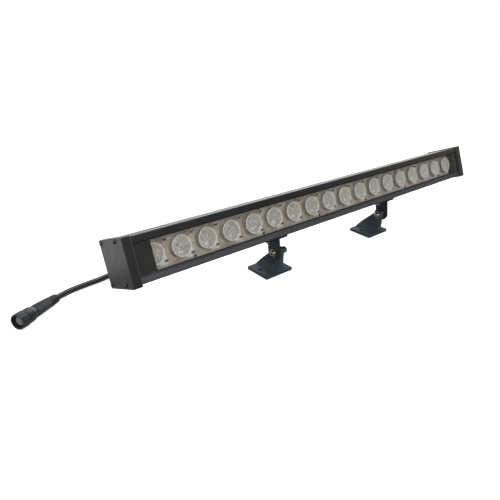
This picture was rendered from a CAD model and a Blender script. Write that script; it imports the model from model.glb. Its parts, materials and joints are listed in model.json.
import json
import math

import bmesh
import bpy
from mathutils import Matrix, Vector


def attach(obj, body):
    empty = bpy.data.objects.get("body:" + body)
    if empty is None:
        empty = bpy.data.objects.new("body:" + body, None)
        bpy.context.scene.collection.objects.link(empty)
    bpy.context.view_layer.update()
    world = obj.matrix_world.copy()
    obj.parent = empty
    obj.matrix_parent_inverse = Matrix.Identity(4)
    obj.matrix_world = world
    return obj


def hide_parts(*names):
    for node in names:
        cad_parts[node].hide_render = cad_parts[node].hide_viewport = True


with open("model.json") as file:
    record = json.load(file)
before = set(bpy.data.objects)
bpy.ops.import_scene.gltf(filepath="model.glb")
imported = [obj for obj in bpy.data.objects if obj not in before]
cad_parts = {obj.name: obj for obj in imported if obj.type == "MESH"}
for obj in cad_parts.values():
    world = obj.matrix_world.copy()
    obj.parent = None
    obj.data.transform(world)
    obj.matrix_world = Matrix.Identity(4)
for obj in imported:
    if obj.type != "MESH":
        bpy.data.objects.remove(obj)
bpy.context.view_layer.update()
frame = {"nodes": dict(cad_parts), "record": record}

bl_info = {
    "name": "Outdoor Wall Washer Light",
    "version": (1, 0, 0),
    "blender": (4, 5, 0),
    "location": "View3D > Sidebar > Wall Washer",
    "description": "Dresses the lamp, its feet, its cable and a pale studio",
    "category": "Object",
}

RECORD = frame["record"]
NODES = frame["nodes"]
BODY_OF = {node: body for body, nodes in RECORD["behaviour"]["bodies"].items() for node in nodes}
SIDES = ("near", "far")

# The camera that fits the photograph: pixels, millimetres of sensor, and metres in the row frame
PICTURE_PX = 500
FOCAL_PX = 486.817
SENSOR_MM = 36.0
NEAREST_SEEN = 0.01
CAMERA_PLACE = (-0.789742, -0.6371252, 0.47282)
CAMERA_RIGHT = Vector((0.7562764, -0.6534473, 0.0324443))
CAMERA_DOWN = Vector((-0.2637792, -0.3499188, -0.8988756))
CAMERA_AHEAD = Vector((0.5987207, 0.6712403, -0.4370011))

# Places in the lamp's own frame, in metres: depth behind the lips, height over the face's middle
LEAN = math.radians(23.2)
PIVOT = Vector((0, -0.0245362, 0.0486))
PIVOT_DEPTH = 0.0422
PIVOT_DROP = 0.071
WINDOW_HALF = 0.0248
LIP_EDGE = 0.0012
LIP_FOOT_TOP = -0.0364
LIP_FOOT_END = -0.0372
GLAND_X = -0.375
GLAND_DROP = 0.015
GLAND_MOUTH_DEPTH = 0.101
CABLE_OUT_DEPTH = 0.1175

# The lens row: rings of one lens as radius, depth, and how far each is bright rim and seen face
LENS_PITCH = 0.0524
LENS_COUNT = 18
LENS_DEPTH = 0.0112
LENS_SEGMENTS = 48
LENS_RINGS = (
    (0.0, -0.0013, 0, 1),
    (0.005, -0.00118, 0, 1),
    (0.010, -0.0007, 0, 1),
    (0.0145, 0.0, 0, 1),
    (0.0168, 0.0002, 0.35, 1),
    (0.0175, -0.0001, 0.95, 1),
    (0.0179, -0.0003, 0.95, 1),
    (0.0187, -0.0002, 0.95, 1),
    (0.0191, 0.0006, 0.85, 1),
    (0.0191, 0.0021, 0.3, 0.2),
    (0.0157, 0.0022, 0.1, 0),
    (0.0128, 0.0050, 0, 0),
    (0.0098, 0.0080, 0, 0),
    (0.0070, 0.0106, 0, 0),
    (0.0041, 0.0106, 0, 0),
    (0.0040, 0.0070, 0, 0),
    (0.0, 0.0064, 0, 0),
)

# Marks around each lens, from its middle, and where things turn paler along the lamp, in metres
LENS_GLINT = {"middle": (-0.0065, -0.0085), "half": (0.0022, 0.0012), "edge": 0.0035}
BOARD_PATCH = {"middle": (0.019, 0.017), "half": (0.004, 0.003), "edge": 0.005}
BOARD_PAD = {"middle": (0.0178, -0.0158), "half": (0.0076, 0.0066), "edge": 0.0012}
BOARD_EDGE = (WINDOW_HALF - 0.0019, WINDOW_HALF - 0.0012)
LENS_FAR = (-0.1, 0.5)
BOARD_FAR = (0.0, 0.5)
BODY_FAR = (-0.15, 0.48)

# The cable's route between the gland and the connector, in millimetres, and its end in metres
CABLE_ROUTE_MM = (
    (-377, 84, 62), (-380, 99, 54), (-385, 114, 45.5), (-392, 127.5, 36.5),
    (-401.5, 139.5, 27.5), (-414, 149, 19.3), (-429.5, 155, 12), (-446.5, 157, 7.2),
    (-464, 156.3, 5.7), (-481, 155, 5.6), (-497, 153.7, 5.6), (-513, 151.9, 5.6),
    (-529, 148.7, 5.7), (-542, 143.8, 6.3),
)
MM_PER_M = 1000
CABLE_END = Vector((-0.556, 0.1365, 0.008))
CABLE_SIDES = 28
CABLE_STEPS = 4
CONNECTOR_RISE = math.asin(6 / 76)
CONNECTOR_HEADING = math.radians(210.4)

# Small rounded edges of the fasteners, and what a dressed copy's mesh is cleaned by
BOLT_EDGE = 0.00018
WASHER_EDGE = 0.00012
EDGE_ANGLE = 28
FASTENER_EDGE_ANGLE = 32
MERGE_DISTANCE = 0.000002
FLAT_ANGLE = 1.0
WEAR_WIDTH = 0.0007

# The studio: half the floor's side, and each lamp's name, place, target, size and watts
FLOOR_REACH = 8
AMBIENT = 0.2
LAMPS = (
    ("front_lamp", (-0.7, -1.8, 1.5), (-0.1, 0, 0.1), (1.6, 1.2), 20),
    ("top_lamp", (0.2, 0.3, 2.2), (0, 0, 0.1), (2.6, 1.6), 32),
    ("side_lamp", (-2.3, 0.1, 0.9), (-0.4, 0, 0.1), (1.6, 1.2), 18),
    ("back_lamp", (1.32, 1.47, 1.1), (0.1, 0, 0.15), (2.0, 1.2), 26),
)


def srgb(r, g, b):
    """An 8 bit screen colour as the linear colour that a shader takes."""
    def linear(v):
        v /= 255
        return v / 12.92 if v <= 0.04045 else ((v + 0.055) / 1.055) ** 2.4
    return (linear(r), linear(g), linear(b))


COLOURS = {name: srgb(*screen) for name, screen in {
    "body": (27, 30, 29), "body worn": (120, 124, 124), "body far": (72, 67, 59),
    "lower lip dark": (60, 62, 66), "lower lip light": (82, 84, 89),
    "cap": (20, 22, 22), "cap worn": (128, 128, 124), "cap far": (70, 72, 74),
    "cap screw": (104, 102, 98), "grey silicone": (120, 124, 122), "black silicone": (18, 18, 19),
    "glass": (214, 220, 216), "seal": (26, 27, 27), "blank": (30, 29, 25), "blank far": (78, 73, 60),
    "lens dark streak": (152, 147, 137), "lens light streak": (238, 234, 225),
    "lens cloud": (192, 187, 177), "lens far": (248, 242, 230), "lens glint": (252, 252, 250),
    "lens rim": (255, 252, 242), "cup dark": (168, 163, 152), "cup light": (192, 188, 178),
    "board light": (212, 203, 185), "board dark": (168, 149, 128), "board track": (244, 239, 226),
    "board far": (224, 216, 198), "board patch": (132, 104, 82), "board pad": (240, 248, 248),
    "board edge": (224, 214, 194), "board screw": (84, 80, 72), "chip": (62, 58, 52),
    "phosphor": (212, 198, 120), "driver board": (40, 92, 56), "driver parts": (52, 50, 56),
    "post brass": (206, 176, 110), "terminal": (214, 212, 202), "lead": (138, 48, 38),
    "foot": (54, 62, 70), "foot worn": (132, 138, 142), "arm worn": (104, 106, 108),
    "steel": (204, 192, 176), "cable": (27, 33, 36), "insert": (96, 98, 98), "ring": (112, 44, 34),
    "contact": (214, 178, 106),
}.items()}


def lamp_point(x, depth, height):
    """A point of the leaning lamp in the row frame."""
    d, h = depth - PIVOT_DEPTH, height + PIVOT_DROP
    back = d * math.cos(LEAN) + h * math.sin(LEAN)
    up = h * math.cos(LEAN) - d * math.sin(LEAN)
    return PIVOT + Vector((x, back, up))


def settings():
    return bpy.context.scene.wall_washer


# Shader nodes in short

def put(tree, value, socket):
    """Links a socket's value, or sets a plain number."""
    if isinstance(value, (int, float)):
        socket.default_value = value
    else:
        tree.links.new(value, socket)


def math_node(tree, operation, a, b=None):
    node = tree.nodes.new("ShaderNodeMath")
    node.operation = operation
    put(tree, a, node.inputs[0])
    if b is not None:
        put(tree, b, node.inputs[1])
    return node.outputs[0]


def times(tree, a, b):
    return math_node(tree, "MULTIPLY", a, b)


def minus(tree, a, b):
    return math_node(tree, "SUBTRACT", a, b)


def greater(tree, a, b):
    return math_node(tree, "MAXIMUM", a, b)


def map_range(tree, value, low, high, to_low=0.0, to_high=1.0):
    node = tree.nodes.new("ShaderNodeMapRange")
    tree.links.new(value, node.inputs["Value"])
    numbers = {"From Min": low, "From Max": high, "To Min": to_low, "To Max": to_high}
    for label, number in numbers.items():
        node.inputs[label].default_value = number
    return node.outputs["Result"]


def over_range(tree, value, to_low, to_high):
    """A mask from 0 to 1 as a value between two others."""
    return map_range(tree, value, 0.0, 1.0, to_low, to_high)


def noise(tree, vector, scale, detail=3.0, roughness=0.55):
    node = tree.nodes.new("ShaderNodeTexNoise")
    tree.links.new(vector, node.inputs["Vector"])
    put(tree, scale, node.inputs["Scale"])
    node.inputs["Detail"].default_value = detail
    node.inputs["Roughness"].default_value = roughness
    return node.outputs["Fac"]


def shader_place(tree, output="Object"):
    """The place on the object in metres, or another of the texture coordinates."""
    return tree.nodes.new("ShaderNodeTexCoord").outputs[output]


def split(tree, vector):
    node = tree.nodes.new("ShaderNodeSeparateXYZ")
    tree.links.new(vector, node.inputs[0])
    return node.outputs


def join(tree, **parts):
    node = tree.nodes.new("ShaderNodeCombineXYZ")
    for label, value in parts.items():
        tree.links.new(value, node.inputs[label])
    return node.outputs[0]


# Node groups

def fill_grain(group, start, end):
    """Powder or moulded grain: a height, and a slow change of tone."""
    place = shader_place(group)
    fine = noise(group, place, start["Grain Scale"], detail=2.0)
    slow = noise(group, place, start["Tone Scale"], detail=4.0, roughness=0.6)
    group.links.new(fine, end["Height"])
    group.links.new(map_range(group, slow, 0.3, 0.7), end["Tone"])


def fill_drawn(group, start, end):
    """Lines that an extruded or brushed surface has along its length."""
    parts = split(group, shader_place(group))
    along = times(group, parts["X"], start["Stretch"])
    stretched = join(group, X=along, Y=parts["Y"], Z=parts["Z"])
    lines = noise(group, stretched, start["Line Scale"], detail=3.0, roughness=0.6)
    group.links.new(lines, end["Height"])


def fill_wear(group, start, end):
    """Where handling has lightened the edges, broken up by noise."""
    bevel = group.nodes.new("ShaderNodeBevel")
    bevel.samples = 4
    group.links.new(start["Width"], bevel.inputs["Radius"])
    dot = group.nodes.new("ShaderNodeVectorMath")
    dot.operation = "DOT_PRODUCT"
    group.links.new(bevel.outputs[0], dot.inputs[0])
    flat = group.nodes.new("ShaderNodeNewGeometry").outputs["True Normal"]
    group.links.new(flat, dot.inputs[1])
    edge = map_range(group, dot.outputs["Value"], 0.995, 0.8)
    broken = map_range(group, noise(group, shader_place(group), 220.0), 0.35, 0.6)
    group.links.new(times(group, times(group, edge, broken), start["Amount"]), end["Mask"])


def fill_dust(group, start, end):
    """A thin pale film on what faces up."""
    normal = group.nodes.new("ShaderNodeNewGeometry").outputs["Normal"]
    up = map_range(group, split(group, normal)["Z"], 0.2, 0.95)
    slow = noise(group, shader_place(group), 60.0, detail=5.0, roughness=0.7)
    cloud = map_range(group, slow, 0.35, 0.75, 0.25, 1.0)
    group.links.new(times(group, times(group, up, cloud), start["Amount"]), end["Mask"])


def fill_lamp_place(group, start, end):
    """Length along the lamp and height over the middle of its face, in metres."""
    parts = split(group, shader_place(group))
    back = times(group, minus(group, parts["Y"], PIVOT.y), math.sin(LEAN))
    up = times(group, minus(group, parts["Z"], PIVOT.z), math.cos(LEAN))
    height = minus(group, math_node(group, "ADD", back, up), PIVOT_DROP)
    group.links.new(parts["X"], end["Along"])
    group.links.new(height, end["Height"])


# Each group's inputs with their values, its outputs, and what fills it
GROUPS = {
    "Fine Grain": ({"Grain Scale": 1500.0, "Tone Scale": 30.0}, ("Height", "Tone"), fill_grain),
    "Drawn Lines": ({"Line Scale": 900.0, "Stretch": 0.01}, ("Height",), fill_drawn),
    "Edge Wear": ({"Width": 0.0006, "Amount": 1.0}, ("Mask",), fill_wear),
    "Dust Film": ({"Amount": 0.3}, ("Mask",), fill_dust),
    "Lamp Place": ({}, ("Along", "Height"), fill_lamp_place),
}


def place_group(tree, name, **values):
    """Adds a shared node group, which is made at its first use."""
    if name not in bpy.data.node_groups:
        inputs, outputs, fill = GROUPS[name]
        group = bpy.data.node_groups.new(name, "ShaderNodeTree")
        for label, value in inputs.items():
            socket = group.interface.new_socket(label, in_out="INPUT", socket_type="NodeSocketFloat")
            socket.default_value = value
        for label in outputs:
            group.interface.new_socket(label, in_out="OUTPUT", socket_type="NodeSocketFloat")
        start, end = group.nodes.new("NodeGroupInput"), group.nodes.new("NodeGroupOutput")
        fill(group, start.outputs, end.inputs)
    node = tree.nodes.new("ShaderNodeGroup")
    node.node_tree = bpy.data.node_groups[name]
    for label, value in values.items():
        node.inputs[label.replace("_", " ")].default_value = value
    return node.outputs


def lens_offset(tree, spot):
    """Offset from the nearest lens's middle, in metres: along the lamp, and up its face."""
    turns = math_node(tree, "FRACT", math_node(tree, "DIVIDE", spot["Along"], LENS_PITCH))
    return times(tree, minus(tree, turns, 0.5), LENS_PITCH), spot["Height"]


def soft_patch(tree, offset, middle, half, edge):
    """A mask that is 1 inside a soft rectangle."""
    masks = []
    for value, centre, reach in zip(offset, middle, half):
        away = math_node(tree, "ABSOLUTE", minus(tree, value, centre))
        masks.append(map_range(tree, away, reach, reach + edge, 1.0, 0.0))
    return times(tree, *masks)


def mix_colour(tree, factor, a, b):
    """Mixes two colours, given as sockets or as plain colours."""
    node = tree.nodes.new("ShaderNodeMix")
    node.data_type = "RGBA"
    tree.links.new(factor, node.inputs["Factor"])
    sockets = [s for s in node.inputs if s.type == "RGBA"]
    for socket, value in zip(sockets, (a, b)):
        if isinstance(value, bpy.types.NodeSocket):
            tree.links.new(value, socket)
        else:
            socket.default_value = (*value, 1.0)
    return next(s for s in node.outputs if s.type == "RGBA")


# Materials

def new_material(name):
    material = bpy.data.materials.new(name)
    material.use_nodes = True
    tree = material.node_tree
    return material, tree, tree.nodes["Principled BSDF"]


def bump(tree, shader, height, strength, distance):
    node = tree.nodes.new("ShaderNodeBump")
    node.inputs["Strength"].default_value = strength
    node.inputs["Distance"].default_value = distance
    tree.links.new(height, node.inputs["Height"])
    tree.links.new(node.outputs[0], shader.inputs["Normal"])


def shaded(colour, share, lift=0.0):
    return tuple(min(1.0, v * share + lift) for v in colour)


def roughen(tree, shader, tone, roughness, rise=0.08):
    """Lets the roughness vary a little around its value, with the tone."""
    rough = over_range(tree, tone, roughness - 0.06, roughness + rise)
    tree.links.new(rough, shader.inputs["Roughness"])


def coated_metal(name, colour, shades, worn, roughness, grain, depth, wear, dust, specular, lines=False):
    """Painted or anodised surface: two shades of its colour, grain, worn edges and dust."""
    material, tree, shader = new_material(name)
    shader.inputs["Specular IOR Level"].default_value = specular
    low, high = (tuple(v * shade for v in colour) for shade in shades)
    soft = place_group(tree, "Fine Grain", Grain_Scale=grain, Tone_Scale=28.0)
    base = mix_colour(tree, soft["Tone"], low, high)
    film = place_group(tree, "Dust Film", Amount=dust)
    base = mix_colour(tree, film["Mask"], base, shaded(high, 1.0, 0.045))
    edge = place_group(tree, "Edge Wear", Width=WEAR_WIDTH, Amount=wear)
    base = mix_colour(tree, edge["Mask"], base, worn)
    tree.links.new(base, shader.inputs["Base Color"])
    roughen(tree, shader, soft["Tone"], roughness)
    height = soft["Height"]
    if lines:
        drawn = place_group(tree, "Drawn Lines", Line_Scale=1400.0, Stretch=0.004)
        height = math_node(tree, "ADD", height, drawn["Height"])
    bump(tree, shader, height, 0.5, depth)
    return material


def bare_steel(name, colour, roughness, lines=True):
    """Bare metal with turned or drawn lines and small stains."""
    material, tree, shader = new_material(name)
    shader.inputs["Metallic"].default_value = 1.0
    soft = place_group(tree, "Fine Grain", Grain_Scale=2500.0, Tone_Scale=160.0)
    dull = shaded(colour, 0.62)
    tree.links.new(mix_colour(tree, soft["Tone"], colour, dull), shader.inputs["Base Color"])
    roughen(tree, shader, soft["Tone"], roughness, rise=0.14)
    height = soft["Height"]
    if lines:
        drawn = place_group(tree, "Drawn Lines", Line_Scale=2600.0, Stretch=0.3)
        height = math_node(tree, "ADD", height, drawn["Height"])
    bump(tree, shader, height, 0.4, 0.00002)
    return material


def moulded(name, colour, roughness, grain=1800.0, depth=0.00003):
    """Moulded plastic or rubber with fine grain and slow tone changes."""
    material, tree, shader = new_material(name)
    soft = place_group(tree, "Fine Grain", Grain_Scale=grain, Tone_Scale=60.0)
    base = mix_colour(tree, soft["Tone"], colour, shaded(colour, 1.35, 0.004))
    film = place_group(tree, "Dust Film", Amount=0.12)
    base = mix_colour(tree, film["Mask"], base, shaded(colour, 1.0, 0.05))
    tree.links.new(base, shader.inputs["Base Color"])
    roughen(tree, shader, soft["Tone"], roughness)
    bump(tree, shader, soft["Height"], 0.5, depth)
    return material


def clear_sheet(name):
    """Window glass: clear, with smudges in its gloss."""
    material, tree, shader = new_material(name)
    shader.inputs["Base Color"].default_value = (*COLOURS["glass"], 1.0)
    shader.inputs["IOR"].default_value = 1.45
    soft = place_group(tree, "Fine Grain", Grain_Scale=60.0, Tone_Scale=14.0)
    tree.links.new(over_range(tree, soft["Tone"], 0.06, 0.14), shader.inputs["Roughness"])
    alpha = map_range(tree, soft["Height"], 0.3, 0.7, 0.02, 0.05)
    tree.links.new(alpha, shader.inputs["Alpha"])
    return material


def ring_attribute(tree, name):
    node = tree.nodes.new("ShaderNodeAttribute")
    node.attribute_name = name
    return node.outputs["Fac"]


def lens_clear(name):
    """Clear acrylic with fine moulded streaks, a glint on its face and a bright broken rim."""
    material, tree, shader = new_material(name)
    spot = place_group(tree, "Lamp Place")
    offset = lens_offset(tree, spot)
    streak_place = join(tree, X=spot["Along"], Y=times(tree, spot["Height"], 0.22))
    streaks = noise(tree, streak_place, 620.0, detail=3.0, roughness=0.7)
    streaks = map_range(tree, streaks, 0.36, 0.64)
    soft = place_group(tree, "Fine Grain", Grain_Scale=620.0, Tone_Scale=95.0)
    broken = map_range(tree, soft["Height"], 0.32, 0.6, 0.35, 1.0)
    rim = times(tree, ring_attribute(tree, "rim"), broken)
    base = mix_colour(tree, streaks, COLOURS["lens dark streak"], COLOURS["lens light streak"])
    base = mix_colour(tree, soft["Tone"], base, COLOURS["lens cloud"])
    far = map_range(tree, spot["Along"], *LENS_FAR, to_high=0.5)
    base = mix_colour(tree, far, base, COLOURS["lens far"])
    glint = soft_patch(tree, offset, **LENS_GLINT)
    glint = times(tree, glint, map_range(tree, soft["Height"], 0.46, 0.56))
    base = mix_colour(tree, glint, base, COLOURS["lens glint"])
    base = mix_colour(tree, rim, base, COLOURS["lens rim"])
    tree.links.new(base, shader.inputs["Base Color"])
    seen = greater(tree, over_range(tree, streaks, 0.5, 0.8), glint)
    seen = times(tree, greater(tree, seen, rim), ring_attribute(tree, "face"))
    tree.links.new(greater(tree, seen, 0.03), shader.inputs["Alpha"])
    shader.inputs["Roughness"].default_value = 0.2
    shader.inputs["IOR"].default_value = 1.49
    bump(tree, shader, streaks, 0.6, 0.0003)
    return material


def lens_cup(name):
    """Clear cup under each lens: faint, with a little tone from its moulding."""
    material, tree, shader = new_material(name)
    soft = place_group(tree, "Fine Grain", Grain_Scale=600.0, Tone_Scale=90.0)
    base = mix_colour(tree, soft["Tone"], COLOURS["cup dark"], COLOURS["cup light"])
    tree.links.new(base, shader.inputs["Base Color"])
    tree.links.new(over_range(tree, soft["Tone"], 0.02, 0.05), shader.inputs["Alpha"])
    shader.inputs["Roughness"].default_value = 0.3
    return material


def circuit_board(name):
    """Warm taupe mask with brown and grey clouds, fine tracks and a pale pad beside each lens."""
    material, tree, shader = new_material(name)
    soft = place_group(tree, "Fine Grain", Grain_Scale=700.0, Tone_Scale=62.0)
    base = mix_colour(tree, soft["Tone"], COLOURS["board light"], COLOURS["board dark"])
    bricks = tree.nodes.new("ShaderNodeTexBrick")
    bricks.inputs["Scale"].default_value = 90.0
    bricks.inputs["Mortar Size"].default_value = 0.012
    tree.links.new(shader_place(tree), bricks.inputs["Vector"])
    track = times(tree, bricks.outputs["Fac"], 0.25)
    base = mix_colour(tree, track, base, COLOURS["board track"])
    spot = place_group(tree, "Lamp Place")
    offset = lens_offset(tree, spot)
    far = map_range(tree, spot["Along"], *BOARD_FAR, to_high=0.6)
    base = mix_colour(tree, far, base, COLOURS["board far"])
    patch = soft_patch(tree, offset, **BOARD_PATCH)
    base = mix_colour(tree, times(tree, patch, 0.55), base, COLOURS["board patch"])
    pad = soft_patch(tree, offset, **BOARD_PAD)
    base = mix_colour(tree, times(tree, pad, 0.85), base, COLOURS["board pad"])
    edge = map_range(tree, spot["Height"], *BOARD_EDGE)
    base = mix_colour(tree, edge, base, COLOURS["board edge"])
    tree.links.new(base, shader.inputs["Base Color"])
    tree.links.new(over_range(tree, pad, 0.55, 0.3), shader.inputs["Roughness"])
    bump(tree, shader, soft["Height"], 0.3, 0.00003)
    return material


def overlay(material, mask_of, colour_of):
    """Lays a masked colour over what a material's base colour already is."""
    tree = material.node_tree
    shader = tree.nodes["Principled BSDF"]
    base = shader.inputs["Base Color"].links[0].from_socket
    spot = place_group(tree, "Lamp Place")
    mixed = mix_colour(tree, mask_of(tree, spot), base, colour_of(tree))
    tree.links.new(mixed, shader.inputs["Base Color"])


def shade_along(material, far_colour, amount):
    """Turns a finish slowly to its far colour towards the far end of the lamp."""
    overlay(material, lambda tree, spot: map_range(tree, spot["Along"], *BODY_FAR, to_high=amount),
            lambda tree: far_colour)


def lower_lip_mask(tree, spot):
    under = map_range(tree, spot["Height"], -WINDOW_HALF - LIP_EDGE, -WINDOW_HALF, 1.0, 0.0)
    over = map_range(tree, spot["Height"], LIP_FOOT_END, LIP_FOOT_TOP)
    return times(tree, under, over)


def lower_lip_colour(tree):
    drawn = place_group(tree, "Drawn Lines", Line_Scale=900.0, Stretch=0.004)
    lines = map_range(tree, drawn["Height"], 0.35, 0.65)
    return mix_colour(tree, lines, COLOURS["lower lip dark"], COLOURS["lower lip light"])


# Pieces

def give(material, *nodes):
    """Puts one material on CAD nodes that keep their shape."""
    for node in nodes:
        mesh = NODES[node].data
        mesh.materials.clear()
        mesh.materials.append(material)


def smooth_faces(mesh):
    for polygon in mesh.polygons:
        polygon.use_smooth = True


def stand_for(name, mesh, node):
    """Adds a piece that rides with a CAD node, stands for it and has its slot."""
    piece = bpy.data.objects.new(name, mesh)
    bpy.context.scene.collection.objects.link(piece)
    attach(piece, BODY_OF[node])
    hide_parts(node)
    return piece


def dressed(node, material, bevel, segments=2, angle=EDGE_ANGLE):
    """A copy of a CAD node with small rounded edges, standing for that node."""
    mesh = NODES[node].data.copy()
    mesh.name = node + "_dressed"
    work = bmesh.new()
    work.from_mesh(mesh)
    bmesh.ops.remove_doubles(work, verts=work.verts, dist=MERGE_DISTANCE)
    bmesh.ops.dissolve_limit(work, angle_limit=math.radians(FLAT_ANGLE), verts=work.verts,
                             edges=work.edges)
    bmesh.ops.recalc_face_normals(work, faces=work.faces)
    for edge in work.edges:
        edge.smooth = True
    work.to_mesh(mesh)
    work.free()
    mesh.materials.clear()
    mesh.materials.append(material)
    smooth_faces(mesh)
    piece = stand_for(node + "_dressed", mesh, node)
    rounder = piece.modifiers.new("Rounded edges", "BEVEL")
    rounder.width = bevel
    rounder.segments = segments
    rounder.limit_method = "ANGLE"
    rounder.angle_limit = math.radians(angle)
    rounder.use_clamp_overlap = True
    piece.modifiers.new("Flat faces", "WEIGHTED_NORMAL").keep_sharp = True


def circle(count):
    return [(math.cos(2 * math.pi * k / count), math.sin(2 * math.pi * k / count)) for k in range(count)]


def revolve(work, rings, segments, place, layers):
    """Adds a turned form to a mesh, from rings of radius, depth and a value for each layer."""
    made = []
    for radius, depth, *values in rings:
        turns = [(radius * a, radius * b) for a, b in circle(segments)] if radius else [(0.0, 0.0)]
        made.append([work.verts.new(place(a, b, depth)) for a, b in turns])
        for vert in made[-1]:
            for layer, value in zip(layers, values):
                vert[layer] = value
    for a, b in zip(made, made[1:]):
        for k in range(segments):
            n = (k + 1) % segments
            corners = [a[k % len(a)], a[n % len(a)], b[n % len(b)], b[k % len(b)]]
            work.faces.new(list(dict.fromkeys(corners)))


def smooth_line(points, steps):
    """The points of one smooth curve through the given ones."""
    line = []
    for i in range(len(points) - 1):
        a, b = points[max(i - 1, 0)], points[i]
        c, d = points[i + 1], points[min(i + 2, len(points) - 1)]
        for k in range(steps):
            t = k / steps
            line.append(0.5 * (2 * b + (c - a) * t + (2 * a - 5 * b + 4 * c - d) * t * t
                               + (3 * b - a - 3 * c + d) * t * t * t))
    line.append(points[-1])
    return line


def tube_mesh(name, line, radius, sides):
    """A closed round tube along a line, its rings carried from one point to the next."""
    mesh = bpy.data.meshes.new(name)
    work = bmesh.new()
    rings = []
    side = Vector((1, 0, 0))
    for i, point in enumerate(line):
        way = (line[min(i + 1, len(line) - 1)] - line[max(i - 1, 0)]).normalized()
        side = (side - side.dot(way) * way).normalized()
        other = way.cross(side)
        rings.append([work.verts.new(point + radius * (a * side + b * other)) for a, b in circle(sides)])
    for a, b in zip(rings, rings[1:]):
        for k in range(sides):
            n = (k + 1) % sides
            work.faces.new([a[k], a[n], b[n], b[k]])
    work.faces.new(rings[0])
    work.faces.new(rings[-1])
    bmesh.ops.recalc_face_normals(work, faces=work.faces)
    work.to_mesh(mesh)
    work.free()
    for polygon in mesh.polygons:
        polygon.use_smooth = len(polygon.vertices) == 4
    return mesh


def colour_property(name, description, colour):
    return bpy.props.FloatVectorProperty(
        name=name, description=description, default=COLOURS[colour], subtype="COLOR", min=0, max=1)


class WallWasherSettings(bpy.types.PropertyGroup):
    edge_round: bpy.props.FloatProperty(
        name="Edge rounding", description="Radius of the small rounded edges of the metal pieces",
        default=0.0005, min=0.0001, max=0.002, unit="LENGTH")
    body_colour: colour_property("Body colour", "Colour of the extruded body", "body")
    cap_colour: colour_property("Cap colour", "Colour of the two end caps", "cap")
    foot_colour: colour_property("Foot colour", "Colour of the feet and arms", "foot")
    cable_colour: colour_property("Cable colour", "Colour of the cable and its connector", "cable")
    cable_radius: bpy.props.FloatProperty(
        name="Cable radius", description="Radius of the cable", default=0.0055, min=0.004,
        max=0.006, unit="LENGTH")
    floor_level: bpy.props.FloatProperty(
        name="Floor tone", description="Brightness of the floor and backdrop", default=0.7,
        min=0.1, max=1.0, subtype="FACTOR")
    light_level: bpy.props.FloatProperty(
        name="Light level", description="Strength of the studio lamps", default=1.0, min=0.1,
        max=4.0)


class WASHER_OT_camera(bpy.types.Operator):
    """Place the camera where the photograph was taken from"""
    bl_idname = "washer.camera"
    bl_label = "Camera"

    def execute(self, context):
        data = bpy.data.cameras.new("photo_camera")
        data.sensor_width = SENSOR_MM
        data.lens = FOCAL_PX / PICTURE_PX * SENSOR_MM
        data.clip_start = NEAREST_SEEN
        camera = bpy.data.objects.new("photo_camera", data)
        context.scene.collection.objects.link(camera)
        turn = Matrix((CAMERA_RIGHT, -CAMERA_DOWN, -CAMERA_AHEAD)).transposed().to_4x4()
        camera.matrix_world = Matrix.Translation(CAMERA_PLACE) @ turn
        context.scene.camera = camera
        return {"FINISHED"}


class WASHER_OT_cable(bpy.types.Operator):
    """Lay the cable from the gland to the connector"""
    bl_idname = "washer.cable"
    bl_label = "Cable"

    def execute(self, context):
        radius = settings().cable_radius
        level = math.cos(CONNECTOR_RISE)
        way = Vector((level * math.cos(CONNECTOR_HEADING), level * math.sin(CONNECTOR_HEADING),
                      math.sin(CONNECTOR_RISE)))
        points = [lamp_point(GLAND_X, depth, -GLAND_DROP) for depth in (GLAND_MOUTH_DEPTH, CABLE_OUT_DEPTH)]
        points += [Vector(p) / MM_PER_M for p in CABLE_ROUTE_MM] + [CABLE_END - way * radius, CABLE_END]
        line = smooth_line(points, CABLE_STEPS)
        mesh = tube_mesh("cable_sheath", line, radius, CABLE_SIDES)
        rubber = moulded("Cable rubber", tuple(settings().cable_colour), roughness=0.3, grain=900.0)
        mesh.materials.append(rubber)
        cable = stand_for("cable_sheath", mesh, "power_cable")
        return {"FINISHED"}


class WASHER_OT_connector(bpy.types.Operator):
    """Finish the gland and the connector"""
    bl_idname = "washer.connector"
    bl_label = "Gland and connector"

    def execute(self, context):
        colour = tuple(settings().cable_colour)
        give(moulded("Black nylon", colour, roughness=0.44, grain=1400.0, depth=0.00005),
             "gland_body", "gland_locknut", "gland_nut", "connector_body", "coupling_nut")
        give(moulded("Boot rubber", shaded(colour, 0.9), roughness=0.55, grain=1200.0, depth=0.00005),
             "connector_boot", "gland_seal")
        give(moulded("Insert plastic", COLOURS["insert"], roughness=0.5), "connector_insert")
        give(moulded("Ring rubber", COLOURS["ring"], roughness=0.4), "connector_ring")
        give(bare_steel("Contact brass", COLOURS["contact"], roughness=0.25, lines=False), "connector_pins")
        return {"FINISHED"}


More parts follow.
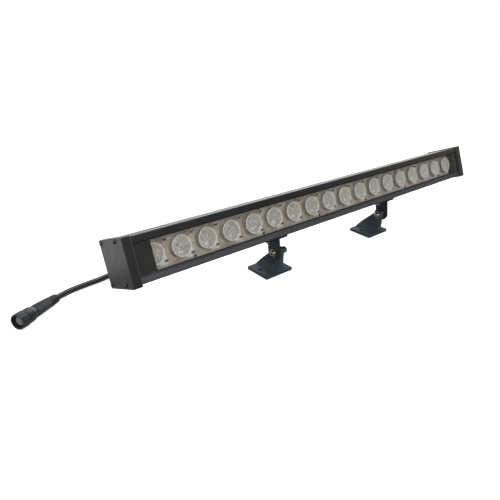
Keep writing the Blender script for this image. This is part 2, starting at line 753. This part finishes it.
class WASHER_OT_body(bpy.types.Operator):
    """Finish the extruded body, its caps, gaskets and cap screws"""
    bl_idname = "washer.body"
    bl_label = "Body and caps"

    def execute(self, context):
        s = settings()
        anodised = coated_metal("Dark anodised body", tuple(s.body_colour), (1.0, 1.25),
                                COLOURS["body worn"], roughness=0.36, grain=1800.0, depth=0.00002,
                                wear=0.25, dust=0.15, specular=0.55, lines=True)
        shade_along(anodised, COLOURS["body far"], 0.8)
        overlay(anodised, lower_lip_mask, lower_lip_colour)
        give(anodised, "housing_extrusion")
        painted = coated_metal("Cap paint", tuple(s.cap_colour), (1.0, 1.3), COLOURS["cap worn"],
                               roughness=0.38, grain=1300.0, depth=0.00004, wear=0.3, dust=0.15,
                               specular=0.55)
        shade_along(painted, COLOURS["cap far"], 0.8)
        for side in SIDES:
            dressed("end_cap_" + side, painted, s.edge_round)
        give(moulded("Grey silicone", COLOURS["grey silicone"], roughness=0.6), "end_gasket_near")
        give(moulded("Black silicone", COLOURS["black silicone"], roughness=0.5), "end_gasket_far")
        give(bare_steel("Cap screw steel", COLOURS["cap screw"], roughness=0.34),
             "cap_screws_near", "cap_screws_far")
        return {"FINISHED"}


class WASHER_OT_window(bpy.types.Operator):
    """Finish the glass, its seal and the blanks"""
    bl_idname = "washer.window"
    bl_label = "Window"

    def execute(self, context):
        give(clear_sheet("Window glass"), "front_glass")
        give(moulded("Seal silicone", COLOURS["seal"], roughness=0.4), "glass_seal")
        blank = moulded("Blank sheet", COLOURS["blank"], roughness=0.42, grain=1600.0, depth=0.00002)
        shade_along(blank, COLOURS["blank far"], 0.9)
        give(blank, "end_blank_near", "end_blank_far")
        return {"FINISHED"}


class WASHER_OT_optics(bpy.types.Operator):
    """Make the lens row over its circuit board"""
    bl_idname = "washer.optics"
    bl_label = "Lenses and board"

    def execute(self, context):
        mesh = bpy.data.meshes.new("lens_row")
        work = bmesh.new()
        layers = [work.verts.layers.float.new(name) for name in ("rim", "face")]
        for i in range(LENS_COUNT):
            x = (i - (LENS_COUNT - 1) / 2) * LENS_PITCH

            def place(a, b, depth, x=x):
                return lamp_point(x + a, LENS_DEPTH + depth, b)
            revolve(work, LENS_RINGS, LENS_SEGMENTS, place, layers)
        bmesh.ops.recalc_face_normals(work, faces=work.faces)
        work.to_mesh(mesh)
        work.free()
        smooth_faces(mesh)
        mesh.materials.append(lens_clear("Lens acrylic"))
        stand_for("lens_row", mesh, "lenses")
        give(lens_cup("Lens cup"), "lens_holders")
        give(circuit_board("Board mask"), "led_board")
        give(bare_steel("Board screw", COLOURS["board screw"], roughness=0.4), "board_screws")
        give(moulded("Chip resin", COLOURS["chip"], roughness=0.5), "board_parts")
        give(moulded("Phosphor", COLOURS["phosphor"], roughness=0.3), "led_emitters")
        return {"FINISHED"}


class WASHER_OT_inside(bpy.types.Operator):
    """Finish the driver and its wiring inside the body"""
    bl_idname = "washer.inside"
    bl_label = "Driver"

    def execute(self, context):
        give(moulded("Driver mask", COLOURS["driver board"], roughness=0.45), "driver_board")
        give(moulded("Driver parts resin", COLOURS["driver parts"], roughness=0.4), "driver_parts")
        give(bare_steel("Post brass", COLOURS["post brass"], roughness=0.3), "driver_posts")
        give(moulded("Terminal nylon", COLOURS["terminal"], roughness=0.4), "supply_terminal")
        give(moulded("Lead silicone", COLOURS["lead"], roughness=0.45), "inner_leads")
        return {"FINISHED"}


class WASHER_OT_feet(bpy.types.Operator):
    """Finish the feet, the arms and their fasteners"""
    bl_idname = "washer.feet"
    bl_label = "Feet and arms"

    def execute(self, context):
        s = settings()
        colour = tuple(s.foot_colour)
        foot = coated_metal("Foot paint", colour, (1.3, 1.6), COLOURS["foot worn"], roughness=0.6,
                            grain=1500.0, depth=0.00003, wear=0.4, dust=0.1, specular=0.12)
        arm = coated_metal("Arm paint", colour, (0.35, 0.5), COLOURS["arm worn"], roughness=0.45,
                           grain=1500.0, depth=0.00003, wear=0.4, dust=0.15, specular=0.4)
        steel = bare_steel("Stainless steel", COLOURS["steel"], roughness=0.3)
        for side in SIDES:
            dressed("foot_" + side, foot, s.edge_round)
            dressed("arm_" + side, arm, s.edge_round)
            for name in ("pivot_bolt_", "pivot_nut_", "slot_screw_"):
                dressed(name + side, steel, BOLT_EDGE, angle=FASTENER_EDGE_ANGLE)
            for name in ("pivot_washers_", "slot_washer_", "slot_nut_"):
                dressed(name + side, steel, WASHER_EDGE, segments=1, angle=FASTENER_EDGE_ANGLE)
        return {"FINISHED"}


# Stage

def seen_directly(tree, path):
    """1 for rays from the camera, and for those that come through glass."""
    return greater(tree, path["Is Camera Ray"], path["Is Transmission Ray"])


def white_glow(tree, strength):
    glow = tree.nodes.new("ShaderNodeEmission")
    glow.inputs["Color"].default_value = (1.0, 1.0, 1.0, 1.0)
    tree.links.new(strength, glow.inputs["Strength"])
    return glow.outputs[0]


def floor_material(name, level):
    """Pale floor: white to the camera, its shadow kept, and darker towards the front in reflections."""
    material, tree, shader = new_material(name)
    shader.inputs["Base Color"].default_value = (level, level, level, 1.0)
    shader.inputs["Roughness"].default_value = 0.9
    shader.inputs["Specular IOR Level"].default_value = 0.0
    place = shader_place(tree)
    reach = tree.nodes.new("ShaderNodeVectorMath")
    reach.operation = "LENGTH"
    tree.links.new(place, reach.inputs[0])
    far = map_range(tree, reach.outputs["Value"], 0.7, 1.6, 0.8, 1.0)
    path = tree.nodes.new("ShaderNodeLightPath").outputs
    both = tree.nodes.new("ShaderNodeAddShader")
    tree.links.new(shader.outputs[0], both.inputs[0])
    tree.links.new(white_glow(tree, times(tree, seen_directly(tree, path), far)), both.inputs[1])
    mirrored = map_range(tree, split(tree, place)["Y"], 0.0, 0.24, 0.12, 1.0)
    pick = tree.nodes.new("ShaderNodeMixShader")
    tree.links.new(path["Is Glossy Ray"], pick.inputs[0])
    tree.links.new(both.outputs[0], pick.inputs[1])
    tree.links.new(white_glow(tree, mirrored), pick.inputs[2])
    output = next(n for n in tree.nodes if n.type == "OUTPUT_MATERIAL")
    tree.links.new(pick.outputs[0], output.inputs["Surface"])
    return material


def studio_world(ambient):
    """Even soft light, white to the camera and in glass, and pale behind and left in reflections."""
    world = bpy.data.worlds.new("studio")
    world.use_nodes = True
    tree = world.node_tree
    ground = tree.nodes["Background"]
    ground.inputs["Color"].default_value = (1, 1, 1, 1)
    path = tree.nodes.new("ShaderNodeLightPath").outputs
    parts = split(tree, shader_place(tree, "Generated"))
    behind = map_range(tree, parts["Y"], -0.2, 0.6, 0.08, 0.6)
    left = map_range(tree, parts["X"], -0.3, -0.8, 0.0, 0.5)
    mirrored = times(tree, path["Is Glossy Ray"], greater(tree, behind, left))
    level = greater(tree, greater(tree, seen_directly(tree, path), mirrored), ambient)
    tree.links.new(level, ground.inputs["Strength"])
    return world


def soft_lamp(name, place, target, size, power):
    data = bpy.data.lights.new(name, "AREA")
    data.shape = "RECTANGLE"
    data.size, data.size_y = size
    data.energy = power * settings().light_level
    lamp = bpy.data.objects.new(name, data)
    bpy.context.scene.collection.objects.link(lamp)
    turn = (Vector(target) - Vector(place)).to_track_quat("-Z", "Y").to_matrix().to_4x4()
    lamp.matrix_world = Matrix.Translation(place) @ turn
    lamp.visible_camera = False


class WASHER_OT_stage(bpy.types.Operator):
    """Make the pale floor, the studio lamps and the backdrop"""
    bl_idname = "washer.stage"
    bl_label = "Stage"

    def execute(self, context):
        mesh = bpy.data.meshes.new("floor")
        corners = [(a * FLOOR_REACH, b * FLOOR_REACH, 0) for a, b in ((-1, -1), (1, -1), (1, 1), (-1, 1))]
        mesh.from_pydata(corners, [], [(0, 1, 2, 3)])
        mesh.materials.append(floor_material("Pale floor", settings().floor_level))
        floor = bpy.data.objects.new("floor", mesh)
        context.scene.collection.objects.link(floor)
        for lamp in LAMPS:
            soft_lamp(*lamp)
        context.scene.world = studio_world(AMBIENT)
        context.scene.view_settings.view_transform = "Standard"
        return {"FINISHED"}


OPERATORS = (WASHER_OT_camera, WASHER_OT_cable, WASHER_OT_connector, WASHER_OT_body,
             WASHER_OT_window, WASHER_OT_optics, WASHER_OT_inside, WASHER_OT_feet,
             WASHER_OT_stage)


class WASHER_PT_panel(bpy.types.Panel):
    bl_idname = "WASHER_PT_panel"
    bl_label = "Wall Washer"
    bl_space_type = "VIEW_3D"
    bl_region_type = "UI"
    bl_category = "Wall Washer"

    def draw(self, context):
        for name in WallWasherSettings.__annotations__:
            self.layout.prop(context.scene.wall_washer, name)
        for operator in OPERATORS:
            self.layout.operator(operator.bl_idname)


CLASSES = (WallWasherSettings, *OPERATORS, WASHER_PT_panel)


def register():
    for item in CLASSES:
        bpy.utils.register_class(item)
    bpy.types.Scene.wall_washer = bpy.props.PointerProperty(type=WallWasherSettings)


def unregister():
    del bpy.types.Scene.wall_washer
    for item in reversed(CLASSES):
        bpy.utils.unregister_class(item)


def main():
    register()
    bpy.ops.washer.camera()
    bpy.ops.washer.cable()
    bpy.ops.washer.connector()
    bpy.ops.washer.body()
    bpy.ops.washer.window()
    bpy.ops.washer.optics()
    bpy.ops.washer.inside()
    bpy.ops.washer.feet()
    bpy.ops.washer.stage()


if __name__ == "__main__":
    main()
